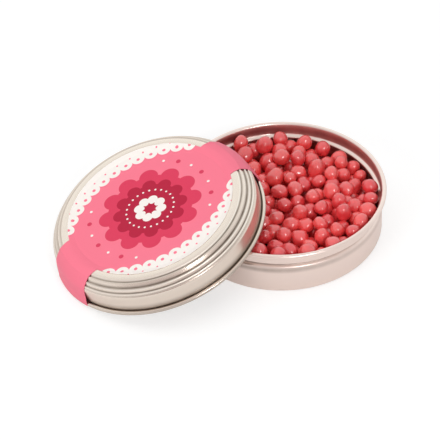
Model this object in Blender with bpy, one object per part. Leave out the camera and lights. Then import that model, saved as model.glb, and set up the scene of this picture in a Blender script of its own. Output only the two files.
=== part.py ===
"""A round slip-lid tin of sugar pearls: the full base stands open and its lid leans on the rim.

Metres, +Z up. The origin is the centre of the base's flat underside. Base and lid are pressed from thin
sheet with a rolled edge: each is one line, turned about its axis and given the sheet's thickness. The
lid's lean is worked out from where its rolled edge meets the floor and the base's rim. The pearls go into
the base one by one, each to the lowest free place. The topmost are pieces of their own, and those under
them are one solid with a rounded top.
"""
import math
import random

import bmesh
import bpy
import numpy as np
from mathutils import Vector
from mathutils.geometry import delaunay_2d_cdt

for old in list(bpy.data.objects):
    bpy.data.objects.remove(old, do_unlink=True)

# Sheet, gaps and the number of steps in a turn
SHEET = 0.00025
GAP = 0.0003
LID_FIT = 0.0002
MERGE = 0.00001
TURN_STEPS = 48

# Rolled edges: the sheet turns outwards, most of the way round a circle
ROLL_SWEEP = math.radians(285)
ROLL_STEPS = 7
RIM_ROLL = 0.0010
LID_ROLL = 0.0009

# Base
RIM_RADIUS = 0.0425
BASE_HEIGHT = 0.0208
CORNER_RADIUS = 0.0012
CORNER_STEPS = 2
NECK_HEIGHT = 0.0065
BEAD_DEPTH = 0.0014
BEAD_WIDTH = 0.0024
BEAD_FLAT_SHARE = 0.4
SHOULDER_DROP = 0.0022
SHOULDER_DRAW = 0.0002

# Lid
PANEL_HEIGHT = 0.0129
CREST_RISE = 0.0008
CREST_WIDTH = 0.0016
SHOULDER_WIDTH = 0.0055
SKIRT_HEIGHT = 0.0091

# The lid's lean on the base's rim
LEAN_DISTANCE = 0.0514
LEAN_AZIMUTH = math.radians(196.75)
FLOOR_GAP = 0.00005
STEEPEST_LEAN = math.radians(45)
LEAN_SAMPLES = 400
LEAN_HALVINGS = 24

# Label: a disc on the lid's panel with two tabs that run down the skirt
LABEL_THICKNESS = 0.00015
LABEL_MARGIN = 0.0009
TAB_WIDTH = 0.0228
TAB_LIFT = 0.0006
TAB_COLUMNS = 4
TAB_AZIMUTH = math.radians(14)

# Pearls
PEARL_RADIUS = 0.0031
SMALLEST_PEARL_SHARE = 0.82
LARGEST_PEARL_SHARE = 1.2
PEARL_FLATNESS_SHARE = 0.1
PEARL_GAP = 0.0001
PEARL_ROUND_STEPS = 2
HEADSPACE = 0.0002
PLACE_SPACING = 0.0006
FULL_AFTER = 20
SEPARATE_PEARLS = 56
DRAW_SEED = 11

# The sunken pearls' joined surface
BED_EDGE_GAP = 0.0005
BED_CLEARANCE = 0.0002
BED_LOW = 0.0100
BED_SPACING = 0.0012
BED_EDGE_STEPS = 72

# Rings of places on each pearl: how far out, as a share of its radius, and how many
BED_RING_SHARES = ((0, 1), (0.5, 6), (0.9, 10))

WHITE_METAL = (0.80, 0.75, 0.70, 1.0)
LABEL_PINK = (0.95, 0.24, 0.32, 1.0)
PEARL_RED = (0.72, 0.08, 0.09, 1.0)


def material(name, colour, roughness, metallic):
    made = bpy.data.materials.new(name)
    made.use_nodes = True
    surface = made.node_tree.nodes["Principled BSDF"]
    surface.inputs["Base Color"].default_value = colour
    surface.inputs["Roughness"].default_value = roughness
    surface.inputs["Metallic"].default_value = metallic
    return made


def new_object(name, bm, surface, parent=None):
    mesh = bpy.data.meshes.new(name)
    bm.to_mesh(mesh)
    bm.free()
    mesh.shade_smooth()
    mesh.materials.append(surface)
    piece = bpy.data.objects.new(name, mesh)
    bpy.context.scene.collection.objects.link(piece)
    piece.parent = parent
    return piece


def thickened(piece, thickness, side):
    """Side 1 adds the thickness on the side that the faces show, and -1 on the other."""
    wall = piece.modifiers.new("thickness", "SOLIDIFY")
    wall.thickness = thickness
    wall.offset = side
    wall.use_even_offset = True


def turned_sheet(name, line, side, surface, parent=None):
    """A line of (distance from the axis, height) turned about Z and made one sheet thick."""
    bm = bmesh.new()
    corners = [bm.verts.new((distance, 0, height)) for distance, height in line]
    for first, second in zip(corners, corners[1:]):
        bm.edges.new((first, second))
    piece = new_object(name, bm, surface, parent)
    turn = piece.modifiers.new("turn", "SCREW")
    turn.axis = "Z"
    turn.steps = TURN_STEPS
    turn.render_steps = TURN_STEPS
    turn.use_merge_vertices = True
    turn.merge_threshold = MERGE
    turn.use_smooth_shade = True
    thickened(piece, SHEET, side)
    return piece


def arc(middle, radius, start, sweep, steps):
    """Points round a circle, as (distance from the axis, height)."""
    angles = [start + sweep * step / steps for step in range(steps + 1)]
    return [(middle[0] + radius * math.cos(turn), middle[1] + radius * math.sin(turn)) for turn in angles]


# Base: bottom, wall, bead pressed inwards, neck and rolled rim, drawn along the sheet's inner face

WALL_RADIUS = RIM_RADIUS - 2 * RIM_ROLL
BEAD_HEIGHT = BASE_HEIGHT - NECK_HEIGHT
BEAD_RADIUS = WALL_RADIUS - BEAD_DEPTH


def base_line():
    corner_middle = (WALL_RADIUS - CORNER_RADIUS, SHEET + CORNER_RADIUS)
    corner = arc(corner_middle, CORNER_RADIUS, -math.pi / 2, math.pi / 2, CORNER_STEPS)
    bead_foot = BEAD_HEIGHT - BEAD_WIDTH / 2
    shoulder = [(WALL_RADIUS, bead_foot - SHOULDER_DROP), (WALL_RADIUS - SHOULDER_DRAW, bead_foot)]
    half_flat = BEAD_WIDTH * BEAD_FLAT_SHARE / 2
    bead = [
        (BEAD_RADIUS, BEAD_HEIGHT - half_flat),
        (BEAD_RADIUS, BEAD_HEIGHT + half_flat),
        (WALL_RADIUS, BEAD_HEIGHT + BEAD_WIDTH / 2),
    ]
    rim_middle = (WALL_RADIUS + RIM_ROLL, BASE_HEIGHT - RIM_ROLL)
    rim = arc(rim_middle, RIM_ROLL, math.pi, -ROLL_SWEEP, ROLL_STEPS)
    return [(0, SHEET)] + corner + shoulder + bead + rim


# Lid: panel, raised border, stepped shoulder, skirt and rolled edge, drawn along the sheet's inner face

SKIRT_RADIUS = RIM_RADIUS + LID_FIT
CREST_RADIUS = SKIRT_RADIUS - SHOULDER_WIDTH
PANEL_RADIUS = CREST_RADIUS - CREST_WIDTH
CREST_HEIGHT = PANEL_HEIGHT + CREST_RISE

# From the border's crest, at 0, to the skirt's top, at 1: (outwards, downwards)
SHOULDER_SHARES = (
    (0.16, 0.10),
    (0.49, 0.44),
    (0.60, 0.47),
    (0.71, 0.62),
    (0.82, 0.70),
    (0.91, 0.86),
    (1, 1),
)


def lid_top_line():
    border = [
        (PANEL_RADIUS, PANEL_HEIGHT),
        (PANEL_RADIUS + CREST_WIDTH / 2, CREST_HEIGHT),
        (CREST_RADIUS, CREST_HEIGHT),
    ]
    depth = CREST_HEIGHT - SKIRT_HEIGHT
    shoulder = [
        (CREST_RADIUS + out * SHOULDER_WIDTH, CREST_HEIGHT - down * depth) for out, down in SHOULDER_SHARES
    ]
    return [(0, PANEL_HEIGHT)] + border + shoulder


def lid_line():
    roll_middle = (SKIRT_RADIUS + LID_ROLL, LID_ROLL)
    return lid_top_line() + arc(roll_middle, LID_ROLL, math.pi, ROLL_SWEEP, ROLL_STEPS)


# The lean is worked out along the middles of the two rolled edges

RIM_RING = RIM_RADIUS - RIM_ROLL
LID_RING = SKIRT_RADIUS + LID_ROLL


def lid_centre_height(tilt):
    """How high the middle of the leaning lid's mouth is, with its rolled edge just above the floor."""
    return LID_RING * math.sin(tilt) + LID_ROLL * (1 - math.cos(tilt)) + FLOOR_GAP


def rim_distance(tilt, turn):
    """From the base's rolled edge to the lid's at one turn about the lid's axis, negative where lower."""
    uphill = -LID_RING * math.cos(turn)
    along = LEAN_DISTANCE - uphill * math.cos(tilt) + LID_ROLL * math.sin(tilt)
    outwards = math.hypot(along, LID_RING * math.sin(turn)) - RIM_RING
    height = lid_centre_height(tilt) + uphill * math.sin(tilt) + LID_ROLL * math.cos(tilt)
    above = height - (BASE_HEIGHT - RIM_ROLL)
    return math.copysign(math.hypot(outwards, above), above)


def lean():
    """The tilt at which the lid's rolled edge passes a gap above the base's."""
    turns = [math.pi * (1 + step / LEAN_SAMPLES) / 2 for step in range(LEAN_SAMPLES)]
    flat, steep = 0, STEEPEST_LEAN
    for _ in range(LEAN_HALVINGS):
        tilt = (flat + steep) / 2
        nearest = min((rim_distance(tilt, turn) for turn in turns), key=abs)
        if nearest > RIM_ROLL + LID_ROLL + GAP:
            steep = tilt
        else:
            flat = tilt
    return steep


def lid_stand():
    """The leaning lid's own frame, with its origin in the middle of the mouth."""
    tilt = lean()
    stand = bpy.data.objects.new("lid_stand", None)
    bpy.context.scene.collection.objects.link(stand)
    stand.location = (
        LEAN_DISTANCE * math.cos(LEAN_AZIMUTH),
        LEAN_DISTANCE * math.sin(LEAN_AZIMUTH),
        lid_centre_height(tilt),
    )
    stand.rotation_euler = (0, tilt, LEAN_AZIMUTH)
    return stand


# Label: it lies on the panel, over the border and down the skirt, a gap off the sheet

LABEL_RADIUS = PANEL_RADIUS - LABEL_MARGIN


def stood_off(line, distance):
    """The line's inner points moved by distance, square to the line and to its upper side."""
    moved = []
    for before, here, after in zip(line, line[1:], line[2:]):
        normals = []
        for first, second in ((before, here), (here, after)):
            run, rise = second[0] - first[0], second[1] - first[1]
            length = math.hypot(run, rise)
            normals.append((-rise / length, run / length))
        (one_out, one_up), (two_out, two_up) = normals
        reach = distance / (1 + one_out * two_out + one_up * two_up)
        moved.append((here[0] + reach * (one_out + two_out), here[1] + reach * (one_up + two_up)))
    return moved


def tab_line():
    """The tab's way from the panel to just above the rolled edge, as (distance from the axis, height)."""
    tab_end = 2 * LID_ROLL + TAB_LIFT
    places = stood_off(lid_top_line() + [(SKIRT_RADIUS, tab_end), (SKIRT_RADIUS, 0)], SHEET + GAP)
    return [place for place in places if place[0] > LABEL_RADIUS]


def label_outline(height):
    """The label's disc, with a column of points for every strip of the tabs, which lie at +X and -X."""
    half_angle = math.asin(TAB_WIDTH / 2 / LABEL_RADIUS)
    plain_steps = TURN_STEPS // 2 - TAB_COLUMNS
    corners = []
    for side in (1, -1):
        for column in range(TAB_COLUMNS):
            across = TAB_WIDTH * (column / TAB_COLUMNS - 1 / 2)
            corners.append((side * math.sqrt(LABEL_RADIUS**2 - across**2), side * across, height))
        for step in range(plain_steps):
            turn = half_angle + (math.pi - 2 * half_angle) * step / plain_steps
            reach = side * LABEL_RADIUS
            corners.append((reach * math.cos(turn), reach * math.sin(turn), height))
    return corners


def label(surface, parent):
    disc_height = PANEL_HEIGHT + SHEET + GAP
    bm = bmesh.new()
    disc = bm.faces.new([bm.verts.new(corner) for corner in label_outline(disc_height)])
    outline = list(disc.edges)
    for first_column in (0, len(outline) // 2):
        strip = outline[first_column : first_column + TAB_COLUMNS]
        for distance, height in tab_line():
            pulled = bmesh.ops.extrude_edge_only(bm, edges=strip)["geom"]
            strip = [item for item in pulled if isinstance(item, bmesh.types.BMEdge)]
            for vert in [item for item in pulled if isinstance(item, bmesh.types.BMVert)]:
                vert.co.x = math.copysign(math.sqrt(distance**2 - vert.co.y**2), vert.co.x)
                vert.co.z = height
    bmesh.ops.recalc_face_normals(bm, faces=bm.faces)
    piece = new_object("lid_label", bm, surface, parent)
    piece.rotation_euler.z = TAB_AZIMUTH
    thickened(piece, LABEL_THICKNESS, 1)
    return piece


# Pearls: each goes to the lowest free place of a fine grid, on the floor, the bead or the pearls before it


def grid_places():
    """The grid that the pearls' middles lie on, seen from above, as far out as the wall."""
    row_spacing = PLACE_SPACING * math.sqrt(3) / 2
    last_row = math.ceil(WALL_RADIUS / row_spacing)
    last_column = math.ceil(WALL_RADIUS / PLACE_SPACING)
    across, along = [], []
    for row in range(-last_row, last_row + 1):
        for column in range(-last_column, last_column + 1):
            across.append((column + (row % 2) / 2) * PLACE_SPACING)
            along.append(row * row_spacing)
    across, along = np.array(across), np.array(along)
    inside = across * across + along * along < WALL_RADIUS * WALL_RADIUS
    return across[inside], along[inside]


def raise_over(heights, apart_squared, reach, height):
    """Lifts the places nearer than reach, seen from above, until a pearl there clears what is at height."""
    over = reach * reach - apart_squared
    near = over > 0
    heights[near] = np.maximum(heights[near], height + np.sqrt(over[near]))


def heap():
    """Every pearl as (x, y, z, radius), in the order in which they settle."""
    draw = random.Random(DRAW_SEED)
    x, y = grid_places()
    from_axis = np.sqrt(x * x + y * y)
    bead_round = BEAD_WIDTH / 2
    from_bead = BEAD_RADIUS + bead_round - from_axis
    settled = []
    misses = 0
    while misses < FULL_AFTER:
        radius = PEARL_RADIUS * draw.triangular(SMALLEST_PEARL_SHARE, LARGEST_PEARL_SHARE)
        heights = np.full(len(x), SHEET + PEARL_GAP + radius)
        raise_over(heights, from_bead * from_bead, radius + bead_round + PEARL_GAP, BEAD_HEIGHT)
        for other_x, other_y, other_z, other_radius in settled:
            apart_squared = (x - other_x) * (x - other_x) + (y - other_y) * (y - other_y)
            raise_over(heights, apart_squared, radius + other_radius + PEARL_GAP, other_z)
        heights[from_axis > WALL_RADIUS - PEARL_GAP - radius] = BASE_HEIGHT
        lowest = int(np.argmin(heights))
        if heights[lowest] + radius > BASE_HEIGHT - HEADSPACE:
            misses += 1
        else:
            settled.append((float(x[lowest]), float(y[lowest]), float(heights[lowest]), radius))
    return settled


def pearl(name, place, surface, draw):
    x, y, z, radius = place
    bm = bmesh.new()
    bmesh.ops.create_icosphere(bm, subdivisions=PEARL_ROUND_STEPS, radius=radius)
    stretch = [1 - draw.uniform(0, PEARL_FLATNESS_SHARE) for _ in range(3)]
    bmesh.ops.scale(bm, vec=stretch, verts=bm.verts)
    piece = new_object(name, bm, surface)
    piece.location = (x, y, z)
    piece.rotation_euler = [draw.uniform(0, math.tau) for _ in range(3)]
    return piece


def sunken_top(x, y, sunken):
    """The highest of the sunken pearls at one place, or BED_LOW where there is none."""
    over = sunken[:, 3] * sunken[:, 3] - (sunken[:, 0] - x) ** 2 - (sunken[:, 1] - y) ** 2
    here = over > 0
    return max([BED_LOW, *(sunken[here, 2] + np.sqrt(over[here]))])


def bed_height(x, y, sunken, separate):
    """The bed's top at one place, kept clear of the pearls that lie on it."""
    top = sunken_top(x, y, sunken)
    for other_x, other_y, other_z, radius in separate:
        apart = max(0, math.hypot(x - other_x, y - other_y) - BED_SPACING / 2)
        clear = radius + BED_CLEARANCE
        if apart < clear:
            top = min(top, other_z - math.sqrt(clear**2 - apart**2))
    return top


def bed_places(radius, sunken, separate):
    """Places seen from above: the bed's edge, then rings of places on every pearl that shows."""
    turns = [math.tau * step / BED_EDGE_STEPS for step in range(BED_EDGE_STEPS)]
    places = [(radius * math.cos(turn), radius * math.sin(turn)) for turn in turns]
    for share, count in BED_RING_SHARES:
        for x, y, z, pearl_radius in np.concatenate((separate, sunken)):
            ring_height = z + pearl_radius * math.sqrt(1 - share**2)
            for step in range(count):
                turn = math.tau * step / count
                reach = pearl_radius * share
                place = (x + reach * math.cos(turn), y + reach * math.sin(turn))
                inside = math.hypot(*place) < radius - BED_SPACING / 2
                shows = sunken_top(*place, sunken) < ring_height + MERGE
                if inside and shows and min(math.dist(place, other) for other in places) > BED_SPACING:
                    places.append(place)
    return places


def pearl_bed(sunken, separate, surface):
    """The pearls under the separate ones: a skin over their tops, with a straight side and a flat foot."""
    places = bed_places(BEAD_RADIUS - BED_EDGE_GAP, sunken, separate)
    corners, _, triangles, *_ = delaunay_2d_cdt([Vector(place) for place in places], [], [], 0, MERGE)
    bm = bmesh.new()
    verts = [bm.verts.new((corner.x, corner.y, bed_height(*corner, sunken, separate))) for corner in corners]
    for triangle in triangles:
        bm.faces.new([verts[index] for index in triangle])
    edge = [item for item in bm.edges if item.is_boundary]
    lowered = bmesh.ops.extrude_edge_only(bm, edges=edge)["geom"]
    for vert in [item for item in lowered if isinstance(item, bmesh.types.BMVert)]:
        vert.co.z = SHEET + GAP
    bmesh.ops.holes_fill(bm, edges=[item for item in bm.edges if item.is_boundary])
    bmesh.ops.recalc_face_normals(bm, faces=bm.faces)
    return new_object("pearl_bed", bm, surface)


metal = material("tinned_sheet", WHITE_METAL, roughness=0.35, metallic=1.0)
print_film = material("label_film", LABEL_PINK, roughness=0.45, metallic=0.0)
sugar = material("sugar_pearl", PEARL_RED, roughness=0.3, metallic=0.0)

turned_sheet("tin_base", base_line(), -1, metal)
stand = lid_stand()
turned_sheet("lid_shell", lid_line(), 1, metal, stand)
label(print_film, stand)

settled = np.array(sorted(heap(), key=lambda place: place[2] + place[3]))
sunken, separate = settled[:-SEPARATE_PEARLS], settled[-SEPARATE_PEARLS:]
pearl_bed(sunken, separate, sugar)
shape_draw = random.Random(DRAW_SEED)
for index, place in enumerate(separate, 1):
    pearl("pearl_%02d" % index, place, sugar, shape_draw)
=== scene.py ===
"""The look of a round slip-lid tin of sugar pearls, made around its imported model. Metres, +Z up."""
import cmath
import math
import random

import bpy
import numpy as np
from mathutils import Euler, Matrix, Vector


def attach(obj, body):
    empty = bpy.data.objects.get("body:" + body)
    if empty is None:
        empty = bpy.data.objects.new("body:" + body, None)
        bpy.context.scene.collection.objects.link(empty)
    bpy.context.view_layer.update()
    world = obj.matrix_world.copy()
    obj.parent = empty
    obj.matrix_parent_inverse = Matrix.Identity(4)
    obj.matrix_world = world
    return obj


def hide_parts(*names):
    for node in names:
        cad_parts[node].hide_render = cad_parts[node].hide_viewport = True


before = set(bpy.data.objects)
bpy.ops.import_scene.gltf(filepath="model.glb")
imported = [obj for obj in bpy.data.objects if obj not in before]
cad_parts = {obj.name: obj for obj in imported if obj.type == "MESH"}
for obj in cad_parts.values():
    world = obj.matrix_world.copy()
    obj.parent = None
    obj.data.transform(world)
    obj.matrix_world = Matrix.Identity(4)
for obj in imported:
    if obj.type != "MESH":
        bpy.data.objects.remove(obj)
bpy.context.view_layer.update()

# Base: a cup drawn from one round of tinned sheet. A bead is rolled inwards under its neck, where the lid
# comes to rest, and the cut edge is curled outwards into a round rim. It holds the pearls and stands on its
# flat bottom. Its outline is the sheet's inner face, from the middle of the bottom to the end of the curl.

SHEET = 0.00025
RIM_RADIUS = 0.0425
BASE_HEIGHT = 0.0208
RIM_ROLL = 0.0010
ROLL_SWEEP = math.radians(285)
WALL_RADIUS = RIM_RADIUS - 2 * RIM_ROLL
BASE_CORNER = 0.0022
NECK_HEIGHT = 0.0065
BEAD_HEIGHT = BASE_HEIGHT - NECK_HEIGHT
BEAD_DEPTH = 0.0014
BEAD_WIDTH = 0.0024
BEAD_FLAT = 0.0010
BEAD_RADIUS = WALL_RADIUS - BEAD_DEPTH
SHOULDER_DROP = 0.0022
SHOULDER_DRAW = 0.0002
PRESS_BEND = 0.0006
TURN_STEPS = 224
TURN_STEP = math.tau / TURN_STEPS
BEND_STEP = math.radians(11)
SIDE_SHARE = 0.48
SEAM = 0.000002
SMOOTH_ANGLE = math.radians(50)


def point(out, up):
    """A place on an outline: the distance from the axis as the real part, the height as the imaginary one."""
    return complex(out, up)


def bent(corners, radius):
    """An outline's corners, each bent to the radius, or to what its sides leave room for."""
    line = [corners[0]]
    for before, here, after in zip(corners, corners[1:], corners[2:]):
        coming, going = here - before, after - here
        turn = cmath.phase(going / coming)
        half = math.tan(abs(turn) / 2)
        if half < SEAM:
            continue
        reach = min(radius * half, abs(coming) * SIDE_SHARE, abs(going) * SIDE_SHARE)
        arm = 1j * coming / abs(coming) * reach / half * math.copysign(1, turn)
        middle = here - coming / abs(coming) * reach + arm
        steps = max(1, round(abs(turn) / BEND_STEP))
        line += [middle - arm * cmath.exp(1j * turn * step / steps) for step in range(steps + 1)]
    return line + [corners[-1]]


def curled(middle, radius, start, sweep, step=BEND_STEP):
    """The arc of a rolled edge, from the angle start through sweep."""
    steps = round(abs(sweep) / step)
    return [middle + cmath.rect(radius, start + sweep * index / steps) for index in range(steps + 1)]


def only(piece):
    """Leaves one object selected and active."""
    bpy.ops.object.select_all(action="DESELECT")
    piece.select_set(True)
    bpy.context.view_layer.objects.active = piece


def applied(piece, kind, **settings):
    """Adds a modifier, sets it up and applies it."""
    only(piece)
    modifier = piece.modifiers.new(kind.lower(), kind)
    for name, setting in settings.items():
        setattr(modifier, name, setting)
    bpy.ops.object.modifier_apply(modifier=modifier.name)


def drawn(name, places):
    """A wire drawn from place to place from a single vertex, and left in edit mode, selected."""
    bpy.ops.object.select_all(action="DESELECT")
    bpy.ops.mesh.primitive_plane_add(size=SHEET, location=(0, 0, 0))
    piece = bpy.context.object
    piece.name = name
    bpy.ops.object.mode_set(mode="EDIT")
    bpy.ops.mesh.merge(type="CENTER")
    bpy.ops.transform.translate(value=places[0])
    for before, here in zip(places, places[1:]):
        bpy.ops.mesh.extrude_vertices_move(TRANSFORM_OT_translate={"value": here - before})
    bpy.ops.mesh.select_all(action="SELECT")
    return piece


def spun(name, line):
    """A skin whose middle faces up: the outline is drawn in the XZ plane and spun about Z."""
    piece = drawn(name, [Vector((place.real, 0, place.imag)) for place in line])
    bpy.ops.mesh.spin(steps=TURN_STEPS, angle=math.tau, center=(0, 0, 0), axis=(0, 0, 1))
    bpy.ops.mesh.select_all(action="SELECT")
    bpy.ops.mesh.remove_doubles(threshold=SEAM)
    bpy.ops.mesh.normals_make_consistent(inside=False)
    bpy.ops.object.mode_set(mode="OBJECT")
    middle_face = min(piece.data.polygons, key=lambda face: face.center.xy.length)
    if middle_face.normal.z < 0:
        bpy.ops.object.mode_set(mode="EDIT")
        bpy.ops.mesh.flip_normals()
        bpy.ops.object.mode_set(mode="OBJECT")
    return piece


def finished(piece, material, body, *nodes):
    """Smooths a piece, gives it its material, and puts it on its body in place of its CAD nodes."""
    only(piece)
    bpy.ops.object.shade_smooth_by_angle(angle=SMOOTH_ANGLE)
    piece.data.materials.clear()
    piece.data.materials.append(material)
    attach(piece, body)
    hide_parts(*nodes)


bead_foot = BEAD_HEIGHT - BEAD_WIDTH / 2
base_line = bent(
    [
        point(0, SHEET),
        point(WALL_RADIUS, SHEET),
        point(WALL_RADIUS, bead_foot - SHOULDER_DROP),
    ],
    BASE_CORNER,
)[:-1]
base_line += bent(
    [
        point(WALL_RADIUS, SHEET + BASE_CORNER * 2),
        point(WALL_RADIUS, bead_foot - SHOULDER_DROP),
        point(WALL_RADIUS - SHOULDER_DRAW, bead_foot),
        point(BEAD_RADIUS, BEAD_HEIGHT - BEAD_FLAT / 2),
        point(BEAD_RADIUS, BEAD_HEIGHT + BEAD_FLAT / 2),
        point(WALL_RADIUS, BEAD_HEIGHT + BEAD_WIDTH / 2),
        point(WALL_RADIUS, BASE_HEIGHT - RIM_ROLL * 2),
    ],
    PRESS_BEND,
)
base_line += curled(point(WALL_RADIUS + RIM_ROLL, BASE_HEIGHT - RIM_ROLL), RIM_ROLL, math.pi, -ROLL_SWEEP)
tin_base = spun("tin_base_sheet", base_line)
applied(tin_base, "SOLIDIFY", thickness=SHEET, offset=-1, use_even_offset=True)


class Signal:
    """A shader socket that Python's operators work on, each by its own Math node."""

    def __init__(self, shading, socket):
        self.shading = shading
        self.socket = socket

    def maths(self, operation, *terms):
        return self.shading.node("Math", {"operation": operation}, dict(enumerate(terms)))

    def __add__(self, other):
        return self.maths("ADD", self, other)

    def __sub__(self, other):
        return self.maths("SUBTRACT", self, other)

    def __rsub__(self, other):
        return self.maths("SUBTRACT", other, self)

    def __mul__(self, other):
        return self.maths("MULTIPLY", self, other)

    def __truediv__(self, other):
        return self.maths("DIVIDE", self, other)

    def root(self):
        return self.maths("SQRT", self)

    def least(self, other):
        return self.maths("MINIMUM", self, other)

    def most(self, other):
        return self.maths("MAXIMUM", self, other)

    def within(self, edge, softness):
        """1 well inside the edge and 0 well outside it, for a signal that grows outwards."""
        settings = {"interpolation_type": "SMOOTHSTEP"}
        sockets = {0: self, 1: edge - softness, 2: edge + softness, 3: 1.0, 4: 0.0}
        return self.shading.node("MapRange", settings, sockets)

    __radd__ = __add__
    __rmul__ = __mul__


class Shading:
    """The nodes of one material or of the world."""

    def __init__(self, owner):
        owner.use_nodes = True
        self.nodes = owner.node_tree.nodes
        self.links = owner.node_tree.links

    def feed(self, socket, value):
        if isinstance(value, Signal):
            self.links.new(value.socket, socket)
        else:
            socket.default_value = value

    def node(self, kind, settings, sockets, output=0):
        """Adds a node with its settings, and gives its sockets their values or links."""
        made = self.nodes.new("ShaderNode" + kind)
        for name, setting in settings.items():
            setattr(made, name, setting)
        for key, value in sockets.items():
            self.feed(made.inputs[key], value)
        return Signal(self, made.outputs[output])

    def mixed(self, share, first, second):
        return self.node("Mix", {"data_type": "RGBA"}, {0: share, 6: first, 7: second}, output=2)

    def noise(self, place, grain, detail=2.0):
        """A soft pattern from 0 to 1 whose lumps are grain metres across."""
        return self.node("TexNoise", {}, {"Vector": place, "Scale": 1 / grain, "Detail": detail})

    def turned(self, middle, rotation, stretch=(1, 1, 1)):
        """Object coordinates in the own frame of a piece that leans."""
        place = self.node("TexCoord", {}, {}, output="Object")
        sockets = {"Vector": place, "Location": middle, "Rotation": rotation, "Scale": stretch}
        return self.node("Mapping", {"vector_type": "TEXTURE"}, sockets)

    def part(self, place, axis):
        return self.node("SeparateXYZ", {}, {0: place}, output=axis)

    def bumps(self, height, distance, strength=1.0):
        return self.node("Bump", {}, {"Strength": strength, "Distance": distance, "Height": height})

    def finish(self, **sockets):
        """Feeds the shader's sockets, named with _ for each space."""
        shader = self.nodes["Principled BSDF"]
        for name, value in sockets.items():
            self.feed(shader.inputs[name.replace("_", " ")], value)


BASE_TIN_LIGHT = (0.88, 0.73, 0.665, 1.0)
BASE_TIN_DULL = (0.81, 0.67, 0.61, 1.0)
# A dark red painted reflection of the pearls, for the inside of the neck.
NECK_PAINTED_REFLECTION = (0.40, 0.18, 0.18, 1.0)
TIN_SHADE = (0.10, 0.065, 0.04, 1.0)
BASE_TIN_ROUGHNESS = 0.33
GRAIN = 0.0005
GRAIN_STRETCH = 12
GRAIN_SHARE = 0.15
GRAIN_GLOSS = 0.05
GRAIN_RELIEF = 0.03
CLOUD = 0.018
CLOUD_SHARE = 0.7
CLOUD_GLOSS = 0.08
WAVE = CLOUD / 3
WAVE_DEPTH = 0.00010
# Painted shade, highlights and reflections in the rings vary in random patches and are weaker away from their
# side.
PAINTED_LIGHT_PATCH = CLOUD / 4
PAINTED_LIGHT_LEAST = 0.7
PAINTED_LIGHT_SPREAD = 0.6
DULLING = 0.2
FAR_SIDE_PAINTED_SHARE = 0.25
# The side of the base where its painted shade is darkest.
BASE_PAINTED_LIGHT_SIDE = math.radians(225)


def tinned_sheet(name, light, dull, roughness, rings, painted_light_side, middle=(0, 0, 0), rotation=(0, 0, 0)):
    """Satin tinplate with fine rolled grain and cloudy patches, with painted shade in its creases and painted
    highlights on its lips.

    Each ring about the axis has a place on the outline, a reach across and up, a strength and a colour:
    painted shade, a painted highlight, a painted reflection or the sheet's own dull tone. The rings are
    strongest towards painted_light_side, an angle about the axis, and vary in random patches.
    """
    material = bpy.data.materials.new(name)
    shading = Shading(material)
    place = shading.turned(middle, rotation)
    drawn_out = shading.turned(middle, rotation, stretch=(GRAIN_STRETCH, 1, 1))
    grain = shading.noise(drawn_out, GRAIN, 4.0)
    cloud = shading.noise(place, CLOUD, 5.0)
    waves = shading.noise(place, WAVE, 1.0)
    across = shading.part(place, "X")
    along = shading.part(place, "Y")
    height = shading.part(place, "Z")
    from_axis = (across * across + along * along).root()
    colour = shading.mixed(cloud * CLOUD_SHARE + grain * GRAIN_SHARE, light, dull)
    roughness = roughness + (cloud - 0.5) * CLOUD_GLOSS + (grain - 0.5) * GRAIN_GLOSS
    # How strongly the rings' painted shade, highlights and reflection show: most towards painted_light_side,
    # in random patches.
    painted_light_patches = shading.noise(place, PAINTED_LIGHT_PATCH, 4.0)
    towards = (across * math.cos(painted_light_side) + along * math.sin(painted_light_side)) / from_axis.most(SHEET)
    facing = towards * 0.5 + 0.5
    painted_light_share = (FAR_SIDE_PAINTED_SHARE + facing * facing * (1 - FAR_SIDE_PAINTED_SHARE)) * (PAINTED_LIGHT_LEAST + painted_light_patches * PAINTED_LIGHT_SPREAD)
    # Each ring mixes in its colour, mostly painted shade or light, and makes the sheet rougher.
    for ring, reach, strength, ring_colour in rings:
        out = (from_axis - ring.real) / reach.real
        up = (height - ring.imag) / reach.imag
        line = (out * out + up * up).root().within(0.5, 0.5) * strength
        colour = shading.mixed(line * painted_light_share, colour, ring_colour)
        roughness = roughness + line.least(1.0) * DULLING
    shading.finish(
        Base_Color=colour,
        Metallic=1.0,
        Roughness=roughness,
        Normal=shading.bumps(grain * GRAIN_RELIEF + waves, WAVE_DEPTH),
    )
    return material


bead_groove = point(BEAD_RADIUS + SHEET, BEAD_HEIGHT)
base_shoulder = point(WALL_RADIUS + SHEET, bead_foot - SHOULDER_DROP / 2)
under_rim = point(RIM_RADIUS - RIM_ROLL, BASE_HEIGHT - RIM_ROLL * 2)
neck_inside = point(WALL_RADIUS, BASE_HEIGHT - RIM_ROLL - 0.0021)
# Painted shade in the bead's groove, on the shoulder under it and under the curled rim, and a dark red
# painted reflection of the pearls inside the neck.
base_rings = [
    (bead_groove, point(0.0010, 0.0010), 0.85, TIN_SHADE),
    (base_shoulder, point(0.0010, 0.0020), 0.50, TIN_SHADE),
    (under_rim, point(0.0006, 0.0006), 0.70, TIN_SHADE),
    (neck_inside, point(SHEET * 0.8, 0.0034), 3.00, NECK_PAINTED_REFLECTION),
]
base_tinplate = tinned_sheet(
    "base_tinplate", BASE_TIN_LIGHT, BASE_TIN_DULL, BASE_TIN_ROUGHNESS, base_rings, BASE_PAINTED_LIGHT_SIDE
)
finished(tin_base, base_tinplate, "base", "tin_base")

# Pearls: round sweets coated in coral sugar, poured in and heaped to the rim. Tumbled in a pan, they come
# out uneven in size and lumpy, with a waxed, half-gloss skin. Every one lies where it settled: each goes to
# the lowest free place on the bottom, the bead or the pearls before it.

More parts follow.
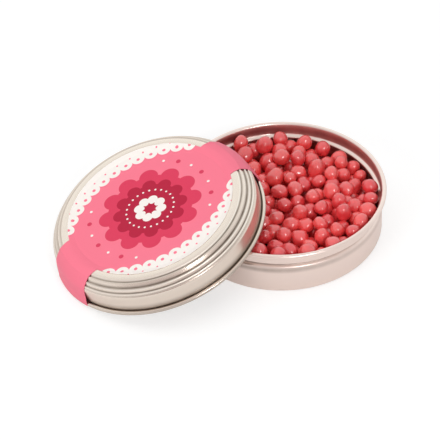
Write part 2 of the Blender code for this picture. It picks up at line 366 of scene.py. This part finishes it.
PEARL_RADIUS = 0.0031
SMALLEST_PEARL_SHARE = 0.82
LARGEST_PEARL_SHARE = 1.2
PEARL_GAP = 0.0001
HEADSPACE = 0.0002
PLACE_SPACING = 0.0006
FULL_AFTER = 20
SEPARATE_PEARLS = 56
DRAW_SEED = 11


def grid_places():
    """The fine grid that the pearls' middles lie on, seen from above, as far out as the wall."""
    row_spacing = PLACE_SPACING * math.sqrt(3) / 2
    last_row = math.ceil(WALL_RADIUS / row_spacing)
    last_column = math.ceil(WALL_RADIUS / PLACE_SPACING)
    across, along = [], []
    for row in range(-last_row, last_row + 1):
        for column in range(-last_column, last_column + 1):
            across.append((column + (row % 2) / 2) * PLACE_SPACING)
            along.append(row * row_spacing)
    across, along = np.array(across), np.array(along)
    inside = across * across + along * along < WALL_RADIUS * WALL_RADIUS
    return across[inside], along[inside]


def raise_over(heights, apart_squared, reach, height):
    """Lifts the places nearer than reach, seen from above, until a pearl there clears what is at height."""
    over = reach * reach - apart_squared
    near = over > 0
    heights[near] = np.maximum(heights[near], height + np.sqrt(over[near]))


def heap():
    """Every pearl as (x, y, z, radius), in the order in which they settle."""
    draw = random.Random(DRAW_SEED)
    x, y = grid_places()
    from_axis = np.sqrt(x * x + y * y)
    bead_round = BEAD_WIDTH / 2
    from_bead = BEAD_RADIUS + bead_round - from_axis
    settled = []
    misses = 0
    while misses < FULL_AFTER:
        radius = PEARL_RADIUS * draw.triangular(SMALLEST_PEARL_SHARE, LARGEST_PEARL_SHARE)
        heights = np.full(len(x), SHEET + PEARL_GAP + radius)
        raise_over(heights, from_bead * from_bead, radius + bead_round + PEARL_GAP, BEAD_HEIGHT)
        for other_x, other_y, other_z, other_radius in settled:
            apart_squared = (x - other_x) * (x - other_x) + (y - other_y) * (y - other_y)
            raise_over(heights, apart_squared, radius + other_radius + PEARL_GAP, other_z)
        heights[from_axis > WALL_RADIUS - PEARL_GAP - radius] = BASE_HEIGHT
        lowest = int(np.argmin(heights))
        if heights[lowest] + radius > BASE_HEIGHT - HEADSPACE:
            misses += 1
        else:
            settled.append((float(x[lowest]), float(y[lowest]), float(heights[lowest]), radius))
    return settled


CORAL = (0.82, 0.060, 0.064, 1.0)
CORAL_PALE = (0.95, 0.118, 0.108, 1.0)
CORAL_DEEP = (0.70, 0.026, 0.040, 1.0)
SUGAR_ROUGHNESS = 0.40
SUGAR_CLOUD = PEARL_RADIUS * 0.8
SUGAR_PORE = 0.0005
PORE_RELIEF = 0.15
SUGAR_RELIEF = 0.00010


def sugar_coat():
    """Waxed coral sugar: a cloudy colour, faint pores and a half-gloss skin."""
    material = bpy.data.materials.new("coral_sugar")
    shading = Shading(material)
    place = shading.node("TexCoord", {}, {}, output="Object")
    tone = shading.node("Attribute", {"attribute_name": "tone"}, {}, output="Fac")
    cloud = shading.noise(place, SUGAR_CLOUD, 3.0)
    pores = shading.noise(place, SUGAR_PORE, 3.0)
    colour = shading.mixed(tone, CORAL_DEEP, CORAL_PALE)
    shading.finish(
        Base_Color=shading.mixed(cloud, colour, CORAL),
        Roughness=SUGAR_ROUGHNESS + (cloud - 0.5) * 0.2 + (pores - 0.5) * 0.1,
        Specular_IOR_Level=0.4,
        Coat_Weight=1.0,
        Coat_Roughness=0.20,
        Coat_IOR=1.8,
        Normal=shading.bumps(pores * PORE_RELIEF + cloud, SUGAR_RELIEF),
        Subsurface_Weight=0.06,
        Subsurface_Scale=0.0008,
        Subsurface_Radius=(1.0, 0.25, 0.2),
    )
    return material


SWELL = 0.00012
LUMP = 0.0040
LUMP_DEPTH = 0.0008
LONGEST_SHARE = 1.25
USUAL_SHARE = 1.02
FLATTEST_SHARE = 0.9
TWIN_SHARE = 0.3
TWIN_GAP = 0.0005
TWIN_OVERLAP = 0.0007
TOP_FINENESS = 4
SHOWN_FINENESS = 3
HIDDEN_FINENESS = 2
SHOWN_DEPTH = 0.0105

lumps = bpy.data.textures.new("lumps", "CLOUDS")
lumps.noise_scale = LUMP
lumps.noise_depth = 0


def pattern_pearl(fineness):
    """The round pearl that others are copied from."""
    bpy.ops.object.select_all(action="DESELECT")
    bpy.ops.mesh.primitive_ico_sphere_add(subdivisions=fineness, radius=1, location=(0, 0, 0))
    return bpy.context.object


def grown_together(places, draw):
    """The pearls that left the pan as twins: each one's number, with that of its neighbour."""
    partners = {}
    for index, place in enumerate(places):
        if index in partners or draw.random() > TWIN_SHARE:
            continue
        apart = np.linalg.norm(places[:, :3] - place[:3], axis=1) - places[:, 3] - place[3]
        apart[[index, *partners]] = TWIN_GAP
        nearest = int(np.argmin(apart))
        if apart[nearest] < TWIN_GAP:
            partners[index], partners[nearest] = nearest, index
    return partners


settled = np.array(sorted(heap(), key=lambda place: place[2] + place[3]))
pearl_draw = random.Random(DRAW_SEED)
tones = [pearl_draw.random() for _ in settled]
twins = grown_together(settled, pearl_draw)


def settled_pearl(name, pattern, index, draw):
    """A copy of the pattern with its own mesh and tone, drawn out of round, turned and put in its place."""
    piece = pattern.copy()
    piece.name = name
    piece.data = pattern.data.copy()
    bpy.context.scene.collection.objects.link(piece)
    x, y, z, radius = settled[index]
    middle = Vector((x, y, z))
    flattest = [draw.uniform(FLATTEST_SHARE, 1), draw.uniform(FLATTEST_SHARE, 1)]
    shape = Vector([draw.triangular(1, LONGEST_SHARE, USUAL_SHARE), *flattest]) * (radius + SWELL)
    turn = Euler([draw.uniform(0, math.tau) for _ in range(3)]).to_quaternion()
    if index in twins:
        partner = settled[twins[index]]
        towards = Vector(partner[:3]) - middle
        grown = (towards.length - radius - partner[3]) / 4 + TWIN_OVERLAP / 2
        shape.x = radius + grown
        middle += towards.normalized() * grown
        turn = towards.to_track_quat("X", "Z")
    piece.data.transform(Matrix.LocRotScale(middle, turn, shape))
    tone = piece.data.attributes.new("tone", "FLOAT", "POINT")
    tone.data.foreach_set("value", [tones[min(index, twins.get(index, index))]] * len(piece.data.vertices))
    return piece


side = [place for place in base_line if place.real > BEAD_RADIUS - SHEET]
side = [place for place in side if place.imag < BASE_HEIGHT - RIM_ROLL]
side_heights = [place.imag for place in side]
side_radii = [place.real for place in side]


def lumpy(piece):
    """Pushes the skin in and out, each pearl in its own way, and flat where it meets the tin.

    The pattern is fixed in space, so that no two pearls get the same lumps.
    """
    applied(piece, "DISPLACE", texture=lumps, texture_coords="GLOBAL", strength=LUMP_DEPTH, mid_level=0.5)
    places = np.empty(len(piece.data.vertices) * 3)
    piece.data.vertices.foreach_get("co", places)
    places = places.reshape(-1, 3)
    places[:, 2] = np.maximum(places[:, 2], SHEET + PEARL_GAP)
    room = np.interp(places[:, 2], side_heights, side_radii) - PEARL_GAP
    from_axis = np.hypot(places[:, 0], places[:, 1])
    places[:, :2] *= np.minimum(1, room / from_axis)[:, None]
    piece.data.vertices.foreach_set("co", places.ravel())
    piece.data.update()


top_pattern, shown_pattern, hidden_pattern = [
    pattern_pearl(fineness) for fineness in (TOP_FINENESS, SHOWN_FINENESS, HIDDEN_FINENESS)
]
sugar = sugar_coat()
sunken_count = len(settled) - SEPARATE_PEARLS
for number in range(1, SEPARATE_PEARLS + 1):
    pearl = settled_pearl("sugar_pearl_%02d" % number, top_pattern, sunken_count + number - 1, pearl_draw)
    lumpy(pearl)
    finished(pearl, sugar, "base", "pearl_%02d" % number)

sunken_pearls = []
for index in range(sunken_count):
    shown = settled[index][2] + settled[index][3] > BASE_HEIGHT - SHOWN_DEPTH
    pattern = shown_pattern if shown else hidden_pattern
    sunken_pearls.append(settled_pearl("sunken_sugar_pearls", pattern, index, pearl_draw))
only(sunken_pearls[0])
for piece in sunken_pearls:
    piece.select_set(True)
bpy.ops.object.join()
lumpy(sunken_pearls[0])
finished(sunken_pearls[0], sugar, "base", "pearl_bed")
for pattern in (top_pattern, shown_pattern, hidden_pattern):
    bpy.data.objects.remove(pattern)

# Lid: pressed from the same sheet in one piece. A flat panel for the label lies inside a raised border, a
# stepped shoulder leads down to a plain skirt, and the cut edge is curled outwards. It slips over the base's
# rim, and here it leans on it. Its outline is the sheet's outer face.

LID_LEAN = math.radians(17.112)
LEAN_AZIMUTH = math.radians(196.75)
LID_ROLL = 0.0009
LID_MIDDLE = Vector((-0.049219, -0.014813, 0.012919))
LID_TURN = Matrix.Rotation(LEAN_AZIMUTH, 4, "Z") @ Matrix.Rotation(LID_LEAN, 4, "Y")
LID_FRAME = Matrix.Translation(LID_MIDDLE) @ LID_TURN
LID_FIT = 0.0002
SKIRT_RADIUS = RIM_RADIUS + LID_FIT + SHEET
CURL_MIDDLE = point(SKIRT_RADIUS + LID_ROLL - SHEET, LID_ROLL)
PANEL_HEIGHT = 0.01315
CREST_HEIGHT = PANEL_HEIGHT + 0.0008
LID_BEND = 0.0005
border = [
    point(0, PANEL_HEIGHT),
    point(0.0325, PANEL_HEIGHT),
    point(0.0342, PANEL_HEIGHT + 0.0006),
    point(0.0355, CREST_HEIGHT),
    point(0.0366, CREST_HEIGHT - 0.00005),
    point(0.0375, CREST_HEIGHT - 0.0003),
]
PRESS_CREASES = [
    point(0.0382, 0.0130),
    point(0.03998, 0.01164),
    point(0.04142, 0.01018),
    point(0.0424, 0.0094),
]
PRESS_LIPS = [point(0.0385, 0.01325), point(0.04032, 0.01190), point(0.04175, 0.01036)]
PRESS_STEPS = [point(0.0390, 0.01325), point(0.0409, 0.0115), point(0.0421, 0.0101), point(0.0427, 0.0090)]
shoulder = []
for crease, lip, step in zip(PRESS_CREASES, PRESS_LIPS, PRESS_STEPS):
    shoulder += [crease, lip, step]
shoulder += [PRESS_CREASES[3], PRESS_STEPS[3]]
skirt = [point(SKIRT_RADIUS, 0.0083), point(SKIRT_RADIUS, LID_ROLL * 2.5)]
lid_line = bent(border + shoulder + skirt, LID_BEND)
lid_line += curled(CURL_MIDDLE, LID_ROLL - SHEET, math.pi, ROLL_SWEEP)
lid_shell = spun("lid_sheet", lid_line)
applied(lid_shell, "SOLIDIFY", thickness=SHEET, offset=-1, use_even_offset=True)


def leaned(piece):
    """Puts a piece made level about the axis where the leaning lid is."""
    piece.matrix_world = LID_FRAME
    only(piece)
    bpy.ops.object.transform_apply(location=True, rotation=True, scale=True)


leaned(lid_shell)
LID_TIN_LIGHT = (0.83, 0.725, 0.635, 1.0)
LID_TIN_DULL = (0.77, 0.665, 0.58, 1.0)
# A painted highlight for the lips of the border and the steps.
LIP_PAINTED_HIGHLIGHT = (1.0, 0.93, 0.84, 1.0)
LID_TIN_ROUGHNESS = 0.22
LID_PAINTED_LIGHT_SIDE = math.radians(110)
border_lip = point(0.0376, 0.01345)
skirt_middle = point(SKIRT_RADIUS, 0.0060)
skirt_foot = point(SKIRT_RADIUS, LID_ROLL * 1.9)
curl_edge = point(SKIRT_RADIUS + LID_ROLL * 1.5, LID_ROLL)
# Painted shade in the four creases, above the curl and on the curl's outer side; painted highlights on the
# border's lip and two step lips; and the skirt pulled towards its dull tone and made rougher.
lid_rings = [
    (PRESS_CREASES[0], point(0.0010, 0.0009), 0.80, TIN_SHADE),
    (PRESS_CREASES[1], point(0.0013, 0.0012), 0.90, TIN_SHADE),
    (PRESS_CREASES[2], point(0.0009, 0.0008), 0.85, TIN_SHADE),
    (PRESS_CREASES[3], point(0.0006, 0.0006), 0.35, TIN_SHADE),
    (border_lip, point(0.0005, 0.0004), 0.90, LIP_PAINTED_HIGHLIGHT),
    (PRESS_STEPS[1], point(0.0005, 0.0006), 0.90, LIP_PAINTED_HIGHLIGHT),
    (PRESS_STEPS[2], point(0.0005, 0.0005), 0.90, LIP_PAINTED_HIGHLIGHT),
    (skirt_middle, point(0.0005, 0.0060), 0.90, LID_TIN_DULL),
    (skirt_foot, point(0.0010, 0.0036), 0.55, TIN_SHADE),
    (curl_edge, point(0.0012, 0.0012), 0.50, TIN_SHADE),
]
lid_tinplate = tinned_sheet(
    "lid_tinplate",
    LID_TIN_LIGHT,
    LID_TIN_DULL,
    LID_TIN_ROUGHNESS,
    lid_rings,
    LID_PAINTED_LIGHT_SIDE,
    LID_MIDDLE,
    LID_FRAME.to_euler(),
)
finished(lid_shell, lid_tinplate, "lid", "lid_shell")

# Label: one printed film, stuck down on the lid's panel, with two tabs that run over the shoulder, down the
# skirt and over the curl. It is cut from the outline of the panel and a straight band, with rounded inner
# corners.

FILM = 0.00015
FILM_LIFT = 0.00002
LABEL_RADIUS = 0.0347
TAB_WIDTH = 0.0228
TAB_AZIMUTH = math.radians(14)
NOTCH_BEND = 0.0004
CURL_START = math.radians(11)
CURL_SWEEP = math.radians(-41)
CUTTER_HEIGHT = 0.03
BAND_LENGTH = 0.12


def lifted(line, distance):
    """The outline moved off its own outer side."""
    moved = [line[0] + 1j * distance]
    for before, here, after in zip(line, line[1:], line[2:]):
        along = (here - before) / abs(here - before) + (after - here) / abs(after - here)
        moved.append(here + 1j * distance * along / abs(along))
    return moved


curl_side = CURL_MIDDLE + cmath.rect(LID_ROLL, CURL_START)
film_line = lifted(bent(border + PRESS_STEPS + [skirt[0], curl_side], LID_BEND), FILM_LIFT)
film_line += curled(CURL_MIDDLE, LID_ROLL + FILM_LIFT, CURL_START, CURL_SWEEP)
label = spun("lid_label_film", film_line)
applied(label, "SOLIDIFY", thickness=FILM, offset=1, use_even_offset=True)

notch = point(0, TAB_WIDTH / 2 + NOTCH_BEND)
notch += math.sqrt((LABEL_RADIUS + NOTCH_BEND) ** 2 - notch.imag ** 2)
notch_turn = cmath.phase(notch)
label_turn = math.pi - 2 * notch_turn
tab_side = [point(BAND_LENGTH / 2, TAB_WIDTH / 2)]
tab_side += curled(notch, NOTCH_BEND, -math.pi / 2, notch_turn - math.pi / 2)
half_outline = tab_side + curled(0, LABEL_RADIUS, notch_turn, label_turn, TURN_STEP)[1:-1]
half_outline += [point(-place.real, place.imag) for place in reversed(tab_side)]
outline = half_outline + [-place for place in half_outline]
cutter = drawn("label_cutter", [Vector((place.real, place.imag, 0)) for place in outline])
bpy.ops.mesh.edge_face_add()
bpy.ops.mesh.extrude_region_move(TRANSFORM_OT_translate={"value": (0, 0, CUTTER_HEIGHT)})
bpy.ops.mesh.select_all(action="SELECT")
bpy.ops.mesh.normals_make_consistent(inside=False)
bpy.ops.object.mode_set(mode="OBJECT")
applied(label, "BOOLEAN", operation="INTERSECT", object=cutter, use_self=True)
bpy.data.objects.remove(cutter)
label.rotation_euler.z = TAB_AZIMUTH
only(label)
bpy.ops.object.transform_apply(location=True, rotation=True, scale=True)
leaned(label)

PINK = (1.0, 0.22, 0.31, 1.0)
ROSE = (0.77, 0.055, 0.12, 1.0)
CRIMSON = (0.50, 0.018, 0.055, 1.0)
CREAM = (1.0, 0.94, 0.89, 1.0)
INK_EDGE = 0.00004
SCALLOP_COUNT = 12
ROSE_DISC, ROSE_RING, ROSE_SCALLOP = 0.0180, 0.0176, 0.0040
CRIMSON_DISC, CRIMSON_RING, CRIMSON_SCALLOP = 0.0130, 0.0127, 0.0029
PETAL_COUNT = 8
PETAL_RING, PETAL_TIP = 0.0048, 0.0021
PETAL_FOOT_RING, PETAL_FOOT = 0.0036, 0.0012
BEADING_COUNT, BEADING_RING, BEADING_DOT = 24, 0.0100, 0.00045
SPRINKLE_COUNT, SPRINKLE_RING, SPRINKLE_WIDTH = 12, 0.0256, 0.0200
ROSE_DOT = 0.0010
CREAM_DOT = 0.0006
LACE_MIDDLE = 0.014
LACE_RADIUS = 0.0434
LACE_SCALLOP = 0.0029
LACE_COUNT = 48
LACE_HALF_SHARE = math.pi / LACE_COUNT
LACE_END = LACE_HALF_SHARE * 13
FILM_ROUGHNESS = 0.5
FILM_WEAVE = 0.0004
WEAVE_DEPTH = 0.00003


def printed_film():
    """Satin film printed with a scalloped medallion, rings of dots and lace along both free sides."""
    material = bpy.data.materials.new("printed_film")
    shading = Shading(material)
    turn = (LID_FRAME @ Matrix.Rotation(TAB_AZIMUTH, 4, "Z")).to_euler()
    place = shading.turned(LID_MIDDLE, turn)
    across = shading.part(place, "X")
    along = shading.part(place, "Y")
    from_middle = (across * across + along * along).root()
    azimuth = across.maths("ARCTAN2", along, across)

    side = along.maths("ABSOLUTE", along)
    from_lace = side + LACE_MIDDLE
    lace_azimuth = across.maths("ARCTAN2", across, from_lace)
    lace_out = (across * across + from_lace * from_lace).root()

    def spots_about(turn, distance, count, ring, radius):
        """How far outside the nearest of count round spots on a ring a place is."""
        share = math.pi / count
        folded = across.maths("WRAP", turn, share, -share)
        out = distance * folded.maths("COSINE", folded) - ring
        aside = distance * folded.maths("SINE", folded)
        return (out * out + aside * aside).root() - radius

    def spot(count, ring, radius, offset=0.0):
        return spots_about(azimuth + offset, from_middle, count, ring, radius)

    def lace_spot(ring, radius, offset=0.0):
        return spots_about(lace_azimuth + offset, lace_out, LACE_COUNT, ring, radius)

    def printed(colour, ink, distance):
        return shading.mixed(distance.within(0, INK_EDGE), colour, ink)

    rose_scallops = spot(SCALLOP_COUNT, ROSE_RING, ROSE_SCALLOP)
    crimson_scallops = spot(SCALLOP_COUNT, CRIMSON_RING, CRIMSON_SCALLOP)
    petal_feet = spot(PETAL_COUNT, PETAL_FOOT_RING, PETAL_FOOT)
    rose_dots = spot(SPRINKLE_COUNT, SPRINKLE_RING, ROSE_DOT)
    cream_dots = spot(SPRINKLE_COUNT, SPRINKLE_RING, CREAM_DOT, math.pi / SPRINKLE_COUNT)
    beside_tabs = side - SPRINKLE_WIDTH
    on_panel = from_middle - LABEL_RADIUS - FILM
    past_end = (lace_azimuth.maths("ABSOLUTE", lace_azimuth) - LACE_END) * LACE_RADIUS
    lace = (LACE_RADIUS - lace_out).least(lace_spot(LACE_RADIUS, LACE_SCALLOP)).most(on_panel).most(past_end)
    eyelets = lace_spot(LACE_RADIUS - LACE_SCALLOP / 6, LACE_SCALLOP / 4)
    small_eyelets = lace_spot(LACE_RADIUS + LACE_SCALLOP * 0.75, LACE_SCALLOP / 7, LACE_HALF_SHARE)
    colour = printed(PINK, ROSE, (from_middle - ROSE_DISC).least(rose_scallops))
    colour = printed(colour, CRIMSON, (from_middle - CRIMSON_DISC).least(crimson_scallops))
    colour = printed(colour, CREAM, spot(PETAL_COUNT, PETAL_RING, PETAL_TIP).least(petal_feet))
    colour = printed(colour, CREAM, spot(BEADING_COUNT, BEADING_RING, BEADING_DOT))
    colour = printed(colour, ROSE, rose_dots.most(beside_tabs))
    colour = printed(colour, CREAM, cream_dots.most(beside_tabs))
    colour = printed(colour, CREAM, lace)
    colour = printed(colour, PINK, eyelets.least(small_eyelets))
    weave = shading.noise(place, FILM_WEAVE, 3.0)
    shading.finish(
        Base_Color=colour,
        Roughness=FILM_ROUGHNESS + (weave - 0.5) * 0.1,
        Normal=shading.bumps(weave, WEAVE_DEPTH),
        Specular_IOR_Level=0.15,
    )
    return material


finished(label, printed_film(), "lid", "lid_label")

# Floor: plain white studio paper, laid flat under the tin. It keeps the shadow of what stands on it, and
# further out it fades into the white around, for the camera and in the metal's mirror image.

PAPER_SIZE = 6.0
PAPER_NEAR = 0.35
PAPER_FAR = 0.9
PAPER_WHITE = 0.75
SEEN_WHITE = 0.50
SEEN_SHADE = 0.40

bpy.ops.object.select_all(action="DESELECT")
bpy.ops.mesh.primitive_plane_add(size=PAPER_SIZE, location=(0, 0, 0))
paper = bpy.context.object
paper.name = "studio_paper"


def seen_rays(shading):
    """Two signals: 1 for rays straight from the camera, and 1 for those by way of a mirror or glass."""
    straight = shading.node("LightPath", {}, {}, output="Is Camera Ray")
    mirrored = shading.node("LightPath", {}, {}, output="Is Glossy Ray")
    through = shading.node("LightPath", {}, {}, output="Is Transmission Ray")
    return straight, mirrored.most(through)


def studio_white():
    material = bpy.data.materials.new("studio_white")
    shading = Shading(material)
    place = shading.node("TexCoord", {}, {}, output="Object")
    distance = shading.node("VectorMath", {"operation": "LENGTH"}, {0: place}, output="Value")
    near = distance.within((PAPER_NEAR + PAPER_FAR) / 2, (PAPER_FAR - PAPER_NEAR) / 2)
    straight, mirrored = seen_rays(shading)
    lit = near * (PAPER_WHITE - straight * (PAPER_WHITE - SEEN_WHITE))
    glow = straight * (1.0 - near * SEEN_SHADE) + mirrored * (1.0 - near * PAPER_WHITE)
    shading.finish(
        Base_Color=shading.node("CombineColor", {}, {0: lit, 1: lit, 2: lit}),
        Emission_Color=shading.node("CombineColor", {}, {0: glow, 1: glow, 2: glow}),
        Emission_Strength=1.0,
        Roughness=1.0,
        Specular_IOR_Level=0.0,
    )
    return material


paper.data.materials.append(studio_white())

# Light: a white room, brighter and a little cooler behind the tin than in front of it in the metal's mirror
# image, a wide soft box overhead, a small one in front, right of the camera, and one on the left. Only the
# small one glints.

ROOM_LIGHT = 0.29
ROOM_SHEEN = 0.88
ROOM_SHADE = 0.34
ROOM_COOL = 0.06

world = bpy.data.worlds.new("white_room")
bpy.context.scene.world = world
room = Shading(world)
straight, mirrored = seen_rays(room)
ahead = room.part(room.node("TexCoord", {}, {}, output="Generated"), "Y")
shown = straight.most(mirrored * (ROOM_SHEEN + ahead * ROOM_SHADE))
level = ROOM_LIGHT + shown * (1 - ROOM_LIGHT)
cool = level + mirrored * ahead * ROOM_COOL
room_colour = room.node("CombineColor", {}, {0: level, 1: cool, 2: cool})
background = room.nodes["Background"]
room.feed(background.inputs["Color"], room_colour)
room.feed(background.inputs["Strength"], 1.0)


def soft_box(name, place, size, power, glints):
    """A square lamp aimed at the tin. One that glints also shows in the metal and in the pearls' wax."""
    bpy.ops.object.light_add(type="AREA", location=place)
    lamp = bpy.context.object
    lamp.name = name
    lamp.rotation_euler = (-Vector(place)).to_track_quat("-Z", "Y").to_euler()
    lamp.visible_glossy = glints
    lamp.data.size = size
    lamp.data.energy = power


soft_box("overhead_box", (-0.15, 0.15, 1.2), size=1.75, power=9.3, glints=False)
soft_box("front_box", (0.36, -0.98, 0.78), size=0.26, power=3.6, glints=True)
soft_box("side_box", (-0.80, -0.78, 0.50), size=0.6, power=4.2, glints=False)

# Camera: a long lens on a stand, which looks down on the open tin from the front. It is turned a little off
# level, as the photograph is.

VIEW_HEIGHT = math.radians(41.047)
VIEW_ROLL = math.radians(-2.092)
VIEW_DISTANCE = 1.1
VIEW_TARGET = Vector((-0.025294, 0.004909, 0))
LENS = 219.2

bpy.ops.object.camera_add(location=(0, 0, 0))
camera = bpy.context.object
tilt = Matrix.Rotation(math.pi / 2 - VIEW_HEIGHT, 4, "X") @ Matrix.Rotation(VIEW_ROLL, 4, "Z")
back = tilt.to_3x3() @ Vector((0, 0, VIEW_DISTANCE))
camera.matrix_world = Matrix.Translation(VIEW_TARGET + back) @ tilt
camera.data.lens = LENS
camera.data.clip_start = 0.05
camera.data.clip_end = 20
bpy.context.scene.camera = camera
bpy.context.scene.view_settings.view_transform = "Standard"
